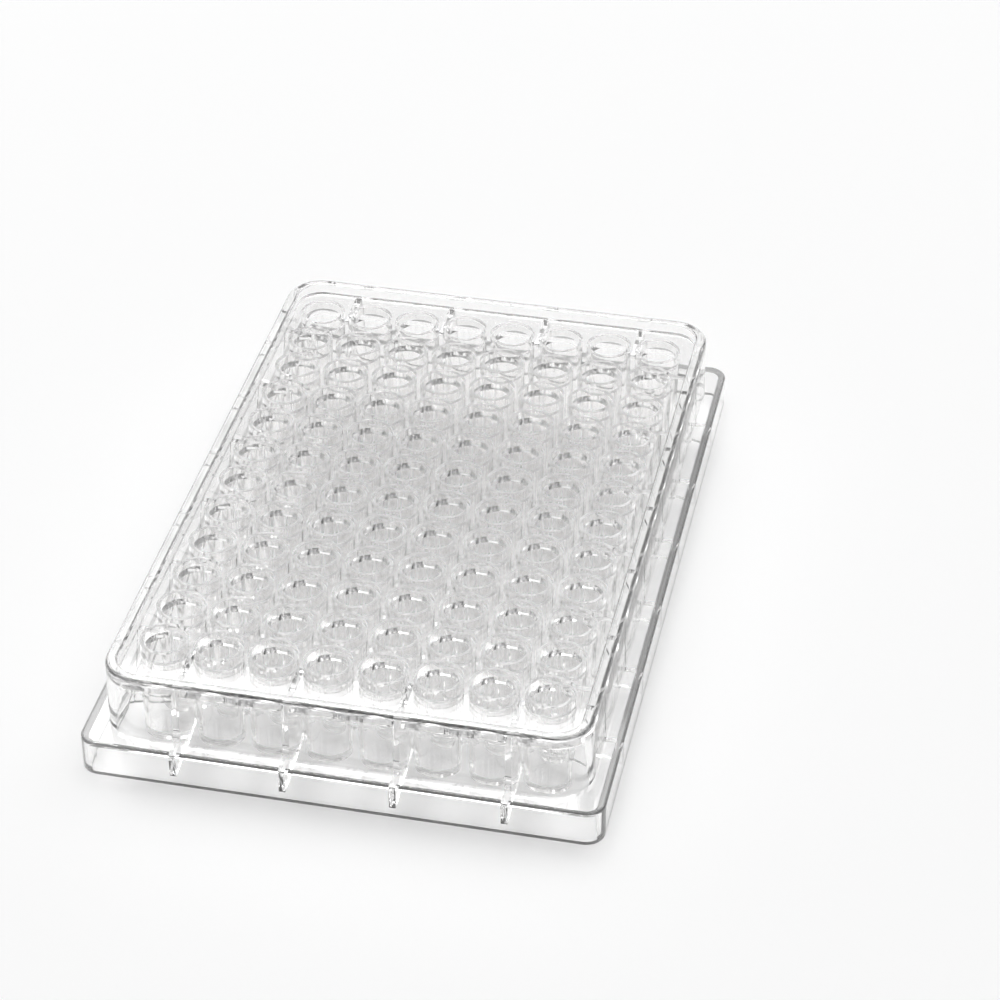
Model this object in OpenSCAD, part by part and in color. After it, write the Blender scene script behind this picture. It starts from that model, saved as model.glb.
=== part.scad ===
// A 96-well plate: one clear moulding, eight columns by twelve rows of flat-bottomed wells.
// The origin is at the middle of the footprint, on the surface that the plate stands on.
// X runs across the plate, Y along it and Z up.

/* [Footprint] */
// Width of the base flange, across the columns
base_w = 85.48; // [80:0.01:110]
// Length of the base flange, along the rows
base_l = 127.76; // [122:0.01:160]
// Height of the base flange, up to the top of the ledge
flange_h = 6.35; // [4:0.05:9]
// Corner radius of the base flange
flange_r = 3.18; // [2:0.01:5]
// Wall of the base flange
flange_t = 1.3; // [1:0.05:2]
// Radius on the flange's upper edge
flange_edge_r = 0.5; // [0.2:0.05:0.8]

/* [Body] */
// Height of the plate over all
plate_h = 17.9; // [14:0.05:24]
// How far the body stands in from the flange
ledge_w = 2.85; // [1.5:0.05:3.5]
// Corner radius of the body
body_r = 6.5; // [5:0.1:9]
// Wall of the body
body_t = 1.4; // [1:0.05:2]
// Thickness of the ledge
ledge_t = 1.2; // [0.8:0.05:2]
// How far the body's wall leans in between the ledge and the deck
wall_draft = 0.25; // [0:0.05:0.5]

/* [Rim and deck] */
// How far the rim and the wells stand above the deck
rim_h = 1.7; // [0.8:0.05:3]
// Width of the rim
rim_w = 2; // [1.6:0.05:3]
// Radius on the rim's outer edge
rim_outer_r = 0.8; // [0.2:0.05:1]
// Radius on the rim's inner edge
rim_inner_r = 0.5; // [0.2:0.05:0.6]
// Thickness of the deck
deck_t = 1.2; // [0.8:0.05:2]

/* [Wells] */
// Number of columns of wells, across the plate
columns = 8; // [2:1:8]
// Number of rows of wells, along the plate
rows = 12; // [2:1:12]
// Distance from one well to the next
pitch = 9; // [8.8:0.05:9.2]
// Inside diameter of a well at its mouth
well_mouth_d = 6.9; // [6:0.05:7.2]
// Inside diameter of a well at its floor
well_floor_d = 6.4; // [5.5:0.05:6.6]
// Wall of a well
well_t = 0.65; // [0.5:0.05:0.8]
// Thickness of a well's floor
floor_t = 1.2; // [0.8:0.05:2]
// Clearance under the wells
foot_gap = 1.2; // [0.8:0.05:3]

/* [Webs] */
// Thickness of the webs between the walls and the outer wells
web_t = 1.1; // [0.8:0.05:1.5]
// Wells from one web to the next
web_step = 2; // [1:1:4]
// Depth of the webs under the ledge at the middle of the wells that they tie in
web_end_d = 1.3; // [0.4:0.05:2]

/* [Hidden] */
$fn = 64;
eps = 0.01;

body_w = base_w - 2 * ledge_w;
body_l = base_l - 2 * ledge_w;
deck_top = plate_h - rim_h;
deck_low = deck_top - deck_t;
ledge_low = flange_h - ledge_t;

// Centres of the first column and row, and of the last web from the middle
first_x = -pitch * (columns - 1) / 2;
first_y = -pitch * (rows - 1) / 2;

well_mouth_r = well_mouth_d / 2;
well_floor_r = well_floor_d / 2;
well_floor_z = foot_gap + floor_t;

// How far a web's lower edge rises on its way from the flange to its well
web_rise = ledge_low - foot_gap - web_end_d;

// A rectangle with true round corners, centred on the origin
module rounded_rect(w, l, r) {
    square([w - 2 * r, l], center = true);
    square([w, l - 2 * r], center = true);
    for (x = [-1, 1], y = [-1, 1]) {
        translate([x * (w / 2 - r), y * (l / 2 - r)]) circle(r);
    }
}

// Carries a section once round a rounded rectangle. The section's X is measured outwards from
// the corners' centres, and its Y is the height.
module carry_round(w, l, r) {
    for (end = [0, 1]) {
        rotate([0, 0, 180 * end]) {
            translate([w / 2 - r, l / 2 - r, 0]) {
                rotate([90, 0, 0]) linear_extrude(l - 2 * r) children();
                rotate_extrude(angle = 90) children();
            }
            translate([-(w / 2 - r), l / 2 - r, 0]) {
                rotate([90, 0, 90]) linear_extrude(w - 2 * r) children();
                rotate([0, 0, 90]) rotate_extrude(angle = 90) children();
            }
        }
    }
}

// What a round of radius r takes off an upper corner whose edges meet at the origin
module round_off(r) {
    difference() {
        translate([-r, -r]) square(r + eps);
        translate([-r, -r]) circle(r);
    }
}

// Section of the base flange: the outer wall, and the ledge as far as the corners' centres
module flange_section() {
    difference() {
        union() {
            translate([flange_r - flange_t, 0]) square([flange_t, flange_h]);
            translate([0, ledge_low]) square([flange_r, ledge_t]);
        }
        translate([flange_r, flange_h]) round_off(flange_edge_r);
    }
}

// Section of the body's wall: it leans in up to the deck and ends in the rim
module body_section() {
    rim_out = body_r - wall_draft;
    polygon([
        [body_r - body_t, ledge_low],
        [body_r, ledge_low],
        [rim_out, deck_low],
        [rim_out - rim_w, deck_low],
        [rim_out - rim_w, deck_low - rim_w + body_t],
    ]);
    difference() {
        translate([rim_out - rim_w, deck_low]) square([rim_w, plate_h - deck_low]);
        translate([rim_out, plate_h]) round_off(rim_outer_r);
        translate([rim_out - rim_w, plate_h]) mirror([1, 0]) round_off(rim_inner_r);
    }
}

// The box-shaped shell that stands on the table: flange, ledge, body wall and deck
module shell() {
    carry_round(base_w, base_l, flange_r) flange_section();
    carry_round(body_w, body_l, body_r) body_section();
    translate([0, 0, ledge_low]) linear_extrude(ledge_t) difference() {
        square([base_w - 2 * flange_r, base_l - 2 * flange_r], center = true);
        rounded_rect(body_w - 2 * body_t, body_l - 2 * body_t, body_r - body_t);
    }
    translate([0, 0, deck_low]) linear_extrude(deck_t) {
        rounded_rect(body_w - 2 * body_t, body_l - 2 * body_t, body_r - body_t);
    }
}

// Puts a copy of its child at every well's centre
module at_wells() {
    for (i = [0 : columns - 1], j = [0 : rows - 1]) {
        translate([first_x + i * pitch, first_y + j * pitch, 0]) children();
    }
}

// A well's outside: a tapered cup that stands up through the deck
module well_body() {
    translate([0, 0, foot_gap]) {
        cylinder(r1 = well_floor_r + well_t, r2 = well_mouth_r + well_t, h = plate_h - foot_gap);
    }
}

// A well's inside, from its flat floor to just past its mouth
module well_cavity() {
    translate([0, 0, well_floor_z]) {
        cylinder(r1 = well_floor_r, r2 = well_mouth_r, h = plate_h - well_floor_z + eps);
    }
}

// Upright webs that tie the outer wells to one pair of walls. The lower edge of each rises towards
// its well. half is the distance from the middle of the plate to the flange's face, reach that to
// the outer wells' centres, and count the number of wells along the wall.
module webs(half, reach, count) {
    low_len = half - flange_t / 2 - reach;
    low_top = ledge_low - foot_gap + eps;
    for (end = [0, 1], n = [1 : web_step : count - 1]) {
        rotate([0, 0, 180 * end]) translate([(n - count / 2) * pitch, reach, foot_gap]) {
            translate([-web_t / 2, 0, 0]) rotate([90, 0, 90]) linear_extrude(web_t) {
                polygon([[0, web_rise], [low_len, 0], [low_len, low_top], [0, low_top]]);
            }
            translate([-web_t / 2, 0, web_rise]) {
                cube([web_t, half - ledge_w - body_t / 2 - reach, deck_low - foot_gap - web_rise + eps]);
            }
        }
    }
}

module plate() {
    color([0.93, 0.94, 0.94, 0.55]) difference() {
        union() {
            shell();
            at_wells() well_body();
            webs(base_l / 2, -first_y, columns);
            rotate([0, 0, 90]) webs(base_w / 2, -first_x, rows);
        }
        at_wells() well_cavity();
    }
}

plate();
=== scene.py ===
"""A clear 96-well plate on a pale floor, seen over its near short side, a little from the right."""
import math

import bpy
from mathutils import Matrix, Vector

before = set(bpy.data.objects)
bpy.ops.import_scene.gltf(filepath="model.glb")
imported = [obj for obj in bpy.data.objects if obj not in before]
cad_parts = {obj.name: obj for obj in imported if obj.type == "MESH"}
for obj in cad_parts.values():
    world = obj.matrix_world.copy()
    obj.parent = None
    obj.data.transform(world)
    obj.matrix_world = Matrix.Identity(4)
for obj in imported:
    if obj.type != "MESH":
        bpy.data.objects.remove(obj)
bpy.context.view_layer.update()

MM = 0.001

# Camera: the point on the floor that it looks at, its direction and distance from there, its lens
AIM = Vector((7.947 * MM, 22.463 * MM, 0.0))
AZIMUTH = math.radians(12.132)
ELEVATION = math.radians(36.2)
DISTANCE = 550.3 * MM
LENS = 110.0
SENSOR = 36.0
CLIP_START = 0.01

# How often light is followed through the plastic, which the view crosses many times
BOUNCES = 64

# Sky: strength at the side and overhead, and the heights between which it changes. It is then
# multiplied by a value that grows from the front to the back, and by one that falls to the wings.
SKY_SIDE = 0.15
SKY_TOP = 1.33
SKY_RISE = (0.5, 0.68)
SKY_FRONT = 0.6
SKY_BACK = 1.5
SKY_DEPTH = (-0.8, 0.8)
SKY_WINGS = 0.3
SKY_ACROSS = (0.3, 0.9)

# A lit card behind the plate, which the near end of the rim mirrors. Its lower edge is square to
# CARD_UP, which leans so that the edge's reflection lies along the rim. The pairs are the spans over
# which the card begins and ends in height, and begins in depth.
CARD_LIGHT = 3.2
CARD_UP = (-0.119, 0.0, 0.993)
CARD_LOW = (0.6544, 0.659)
CARD_HIGH = (0.74, 0.80)
CARD_DEPTH = (0.5, 0.62)

# Lamp
KEY_AT = Vector((-0.64, 1.36, 2.44))
KEY_SIZE = 0.68
KEY_POWER = 23.0

# Floor
FLOOR_WHITE = (0.97, 0.97, 0.97, 1.0)
FLOOR_RADIUS = 4.0
FLOOR_SIDES = 96

# Clear polystyrene
STYRENE_TINT = (0.995, 0.994, 0.993, 1.0)
STYRENE_IOR = 1.59

# Waviness of its faces
RIPPLE_SCALE = 90.0
RIPPLE_DETAIL = 0.0
RIPPLE_STRENGTH = 0.01
RIPPLE_HEIGHT = 0.1 * MM

# Fine marks: where the noise crosses the span, the roughness goes from polished to slightly dull
MARKS_SCALE = 420.0
MARKS_DETAIL = 2.0
MARKS_SPAN = (0.55, 0.75)
POLISHED = 0.0
DULL = 0.04

# Shadow: the share of the light that a surface lets through to shadow rays, between the wells and
# elsewhere, and the spans over which one gives way to the other. On level faces between the wells the
# share is lowered as painted shade: it paints shadow on the floor between the wells and leaves brighter
# spots under them, in place of light that the plastic bends. WELL_EDGE is measured from a well's axis,
# in pitches. FIELD_EDGE is a share of the half sizes in FIELD, and LEVEL_EDGE is how level a face is.
DECK_PAINTED_SHADE_PASS = 0.45
PASS_CLEAR = 0.875
PITCH = 9 * MM
FIELD = (4 * PITCH, 6 * PITCH)
WELL_EDGE = (0.42, 0.46)
FIELD_EDGE = (1.0, 1.01)
LEVEL_EDGE = (0.5, 0.7)


def new_material(name):
    """A material with an empty node tree, and its output node."""
    material = bpy.data.materials.new(name)
    material.use_nodes = True
    tree = material.node_tree
    tree.nodes.clear()
    return material, tree, tree.nodes.new("ShaderNodeOutputMaterial")


def ramp(tree, value, span, levels, shape="SMOOTHSTEP"):
    """As value crosses span, the result goes from the first level to the second."""
    node = tree.nodes.new("ShaderNodeMapRange")
    node.interpolation_type = shape
    node.inputs["From Min"].default_value, node.inputs["From Max"].default_value = span
    node.inputs["To Min"].default_value, node.inputs["To Max"].default_value = levels
    tree.links.new(value, node.inputs["Value"])
    return node.outputs["Result"]


def combine(tree, operation, first, second):
    """The sum, product or larger of two values."""
    node = tree.nodes.new("ShaderNodeMath")
    node.operation = operation
    tree.links.new(first, node.inputs[0])
    tree.links.new(second, node.inputs[1])
    return node.outputs["Value"]


def vector_step(tree, operation, vector, by=None, result="Vector"):
    """One step of arithmetic on a vector, with a fixed second vector if there is one."""
    node = tree.nodes.new("ShaderNodeVectorMath")
    node.operation = operation
    tree.links.new(vector, node.inputs[0])
    if by is not None:
        node.inputs[1].default_value = by
    return node.outputs[result]


def split(tree, vector):
    """The X, Y and Z of a vector."""
    node = tree.nodes.new("ShaderNodeSeparateXYZ")
    tree.links.new(vector, node.inputs["Vector"])
    return node.outputs["X"], node.outputs["Y"], node.outputs["Z"]


def noise(tree, place, scale, detail):
    """Noise in the plate's own space."""
    node = tree.nodes.new("ShaderNodeTexNoise")
    node.inputs["Scale"].default_value = scale
    node.inputs["Detail"].default_value = detail
    tree.links.new(place, node.inputs["Vector"])
    return node.outputs["Fac"]


def choose_by_ray(tree, kind, chosen, rest, output):
    """Gives the output one shader for rays of one kind, and another for all the rest."""
    path = tree.nodes.new("ShaderNodeLightPath")
    mix = tree.nodes.new("ShaderNodeMixShader")
    tree.links.new(path.outputs[kind], mix.inputs["Fac"])
    tree.links.new(rest, mix.inputs[1])
    tree.links.new(chosen, mix.inputs[2])
    tree.links.new(mix.outputs["Shader"], output.inputs["Surface"])


def between_wells(tree, place):
    """1 between the wells and 0 in them. Their axes stand in the middles of cells one pitch wide."""
    cell = vector_step(tree, "MULTIPLY", place, (1 / PITCH, 1 / PITCH, 0.0))
    cell = vector_step(tree, "FRACTION", cell)
    cell = vector_step(tree, "SUBTRACT", cell, (0.5, 0.5, 0.0))
    off_axis = vector_step(tree, "LENGTH", cell, result="Value")
    return ramp(tree, off_axis, WELL_EDGE, (0.0, 1.0))


def in_field(tree, place):
    """1 in the rectangle that the wells fill and 0 outside it."""
    off_middle = vector_step(tree, "MULTIPLY", place, (1 / FIELD[0], 1 / FIELD[1], 0.0))
    x, y, _ = split(tree, vector_step(tree, "ABSOLUTE", off_middle))
    return ramp(tree, combine(tree, "MAXIMUM", x, y), FIELD_EDGE, (1.0, 0.0))


def level_face(tree):
    """1 on level faces and 0 on upright ones."""
    facing = tree.nodes.new("ShaderNodeNewGeometry").outputs["True Normal"]
    facing = vector_step(tree, "ABSOLUTE", facing)
    level = vector_step(tree, "DOT_PRODUCT", facing, (0.0, 0.0, 1.0), result="Value")
    return ramp(tree, level, LEVEL_EDGE, (0.0, 1.0))


def painted_shadow_pass(tree, place):
    """The share of light that a surface lets through to shadow rays. On level faces between the wells
    it is lowered as painted shade, which paints shadow on the floor beneath and brighter spots under
    the wells.
    """
    # Painted shade mask: level faces between the wells, inside the field that the wells fill
    painted_shade_mask = combine(tree, "MULTIPLY", between_wells(tree, place), in_field(tree, place))
    painted_shade_mask = combine(tree, "MULTIPLY", painted_shade_mask, level_face(tree))
    return ramp(tree, painted_shade_mask, (0.0, 1.0), (PASS_CLEAR, DECK_PAINTED_SHADE_PASS))


def clear_styrene():
    """Clear polystyrene: polished, with the faint waviness and fine marks that moulding leaves."""
    material, tree, output = new_material("clear_styrene")
    place = tree.nodes.new("ShaderNodeTexCoord").outputs["Object"]
    shader = tree.nodes.new("ShaderNodeBsdfPrincipled")
    shader.inputs["Base Color"].default_value = STYRENE_TINT
    shader.inputs["Transmission Weight"].default_value = 1.0
    shader.inputs["IOR"].default_value = STYRENE_IOR

    bump = tree.nodes.new("ShaderNodeBump")
    bump.inputs["Strength"].default_value = RIPPLE_STRENGTH
    bump.inputs["Distance"].default_value = RIPPLE_HEIGHT
    tree.links.new(noise(tree, place, RIPPLE_SCALE, RIPPLE_DETAIL), bump.inputs["Height"])
    tree.links.new(bump.outputs["Normal"], shader.inputs["Normal"])

    marks = noise(tree, place, MARKS_SCALE, MARKS_DETAIL)
    roughness = ramp(tree, marks, MARKS_SPAN, (POLISHED, DULL), "LINEAR")
    tree.links.new(roughness, shader.inputs["Roughness"])

    # For shadow rays the plastic lets light through in the painted shadow pass, which paints shade on
    # the floor between the wells and brighter spots under them
    clear = tree.nodes.new("ShaderNodeBsdfTransparent")
    tree.links.new(painted_shadow_pass(tree, place), clear.inputs["Color"])
    choose_by_ray(tree, "Is Shadow Ray", clear.outputs["BSDF"], shader.outputs["BSDF"], output)
    return material


def floor_material():
    """Matt white."""
    material, tree, output = new_material("studio_floor")
    shader = tree.nodes.new("ShaderNodeBsdfDiffuse")
    shader.inputs["Color"].default_value = FLOOR_WHITE
    tree.links.new(shader.outputs["BSDF"], output.inputs["Surface"])
    return material


def make_floor():
    """A round floor, far larger than the camera sees."""
    mesh = bpy.data.meshes.new("floor")
    turns = [math.tau * n / FLOOR_SIDES for n in range(FLOOR_SIDES)]
    ring = [(FLOOR_RADIUS * math.cos(a), FLOOR_RADIUS * math.sin(a), 0.0) for a in turns]
    mesh.from_pydata(ring, [], [list(range(FLOOR_SIDES))])
    mesh.materials.append(floor_material())
    floor = bpy.data.objects.new("floor", mesh)
    bpy.context.scene.collection.objects.link(floor)


def sky_light(tree, place):
    """The sky's strength: bright overhead, darker low down, towards the front and at the wings."""
    x, y, z = split(tree, place)
    across, _, _ = split(tree, vector_step(tree, "ABSOLUTE", place))
    sky = ramp(tree, z, SKY_RISE, (SKY_SIDE, SKY_TOP))
    sky = combine(tree, "MULTIPLY", sky, ramp(tree, y, SKY_DEPTH, (SKY_FRONT, SKY_BACK)))
    return combine(tree, "MULTIPLY", sky, ramp(tree, across, SKY_ACROSS, (1.0, SKY_WINGS)))


def card_light(tree, place):
    """The lit card's strength, and nothing around it."""
    _, y, z = split(tree, place)
    up = vector_step(tree, "DOT_PRODUCT", place, CARD_UP, result="Value")
    card = ramp(tree, up, CARD_LOW, (0.0, CARD_LIGHT))
    card = combine(tree, "MULTIPLY", card, ramp(tree, z, CARD_HIGH, (1.0, 0.0)))
    return combine(tree, "MULTIPLY", card, ramp(tree, y, CARD_DEPTH, (0.0, 1.0)))


def make_world():
    """A soft studio for the light, and plain white for the camera."""
    world = bpy.data.worlds.new("studio")
    bpy.context.scene.world = world
    world.use_nodes = True
    tree = world.node_tree
    tree.nodes.clear()
    place = tree.nodes.new("ShaderNodeTexCoord").outputs["Generated"]
    lit = tree.nodes.new("ShaderNodeBackground")
    light = combine(tree, "ADD", sky_light(tree, place), card_light(tree, place))
    tree.links.new(light, lit.inputs["Strength"])
    white = tree.nodes.new("ShaderNodeBackground")
    white.inputs["Color"].default_value = (1.0, 1.0, 1.0, 1.0)
    output = tree.nodes.new("ShaderNodeOutputWorld")
    choose_by_ray(tree, "Is Camera Ray", white.outputs["Background"], lit.outputs["Background"], output)


def place_facing(thing, location, ahead):
    """Puts a camera or lamp at its place and turns it to face the direction ahead."""
    bpy.context.scene.collection.objects.link(thing)
    thing.location = location
    thing.rotation_euler = ahead.to_track_quat("-Z", "Y").to_euler()


def make_key():
    """A large soft lamp, high up behind the plate and to its left."""
    data = bpy.data.lights.new("key", "AREA")
    data.shape = "DISK"
    data.size = KEY_SIZE
    data.energy = KEY_POWER
    place_facing(bpy.data.objects.new("key", data), KEY_AT, -KEY_AT)


def make_camera():
    """The camera looks down over the near short side, a little from the right."""
    data = bpy.data.cameras.new("camera")
    data.lens = LENS
    data.sensor_width = SENSOR
    data.clip_start = CLIP_START
    camera = bpy.data.objects.new("camera", data)
    back = Vector((
        math.sin(AZIMUTH) * math.cos(ELEVATION),
        -math.cos(AZIMUTH) * math.cos(ELEVATION),
        math.sin(ELEVATION),
    ))
    place_facing(camera, AIM + DISTANCE * back, -back)
    bpy.context.scene.camera = camera


def dress_plate():
    """Gives the moulding its plastic."""
    material = clear_styrene()
    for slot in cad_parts["plate"].material_slots:
        slot.material = material


make_camera()
make_world()
make_key()
make_floor()
dress_plate()

bpy.context.scene.view_settings.view_transform = "Standard"
cycles = bpy.context.scene.cycles
cycles.max_bounces = BOUNCES
cycles.transmission_bounces = BOUNCES
cycles.glossy_bounces = BOUNCES
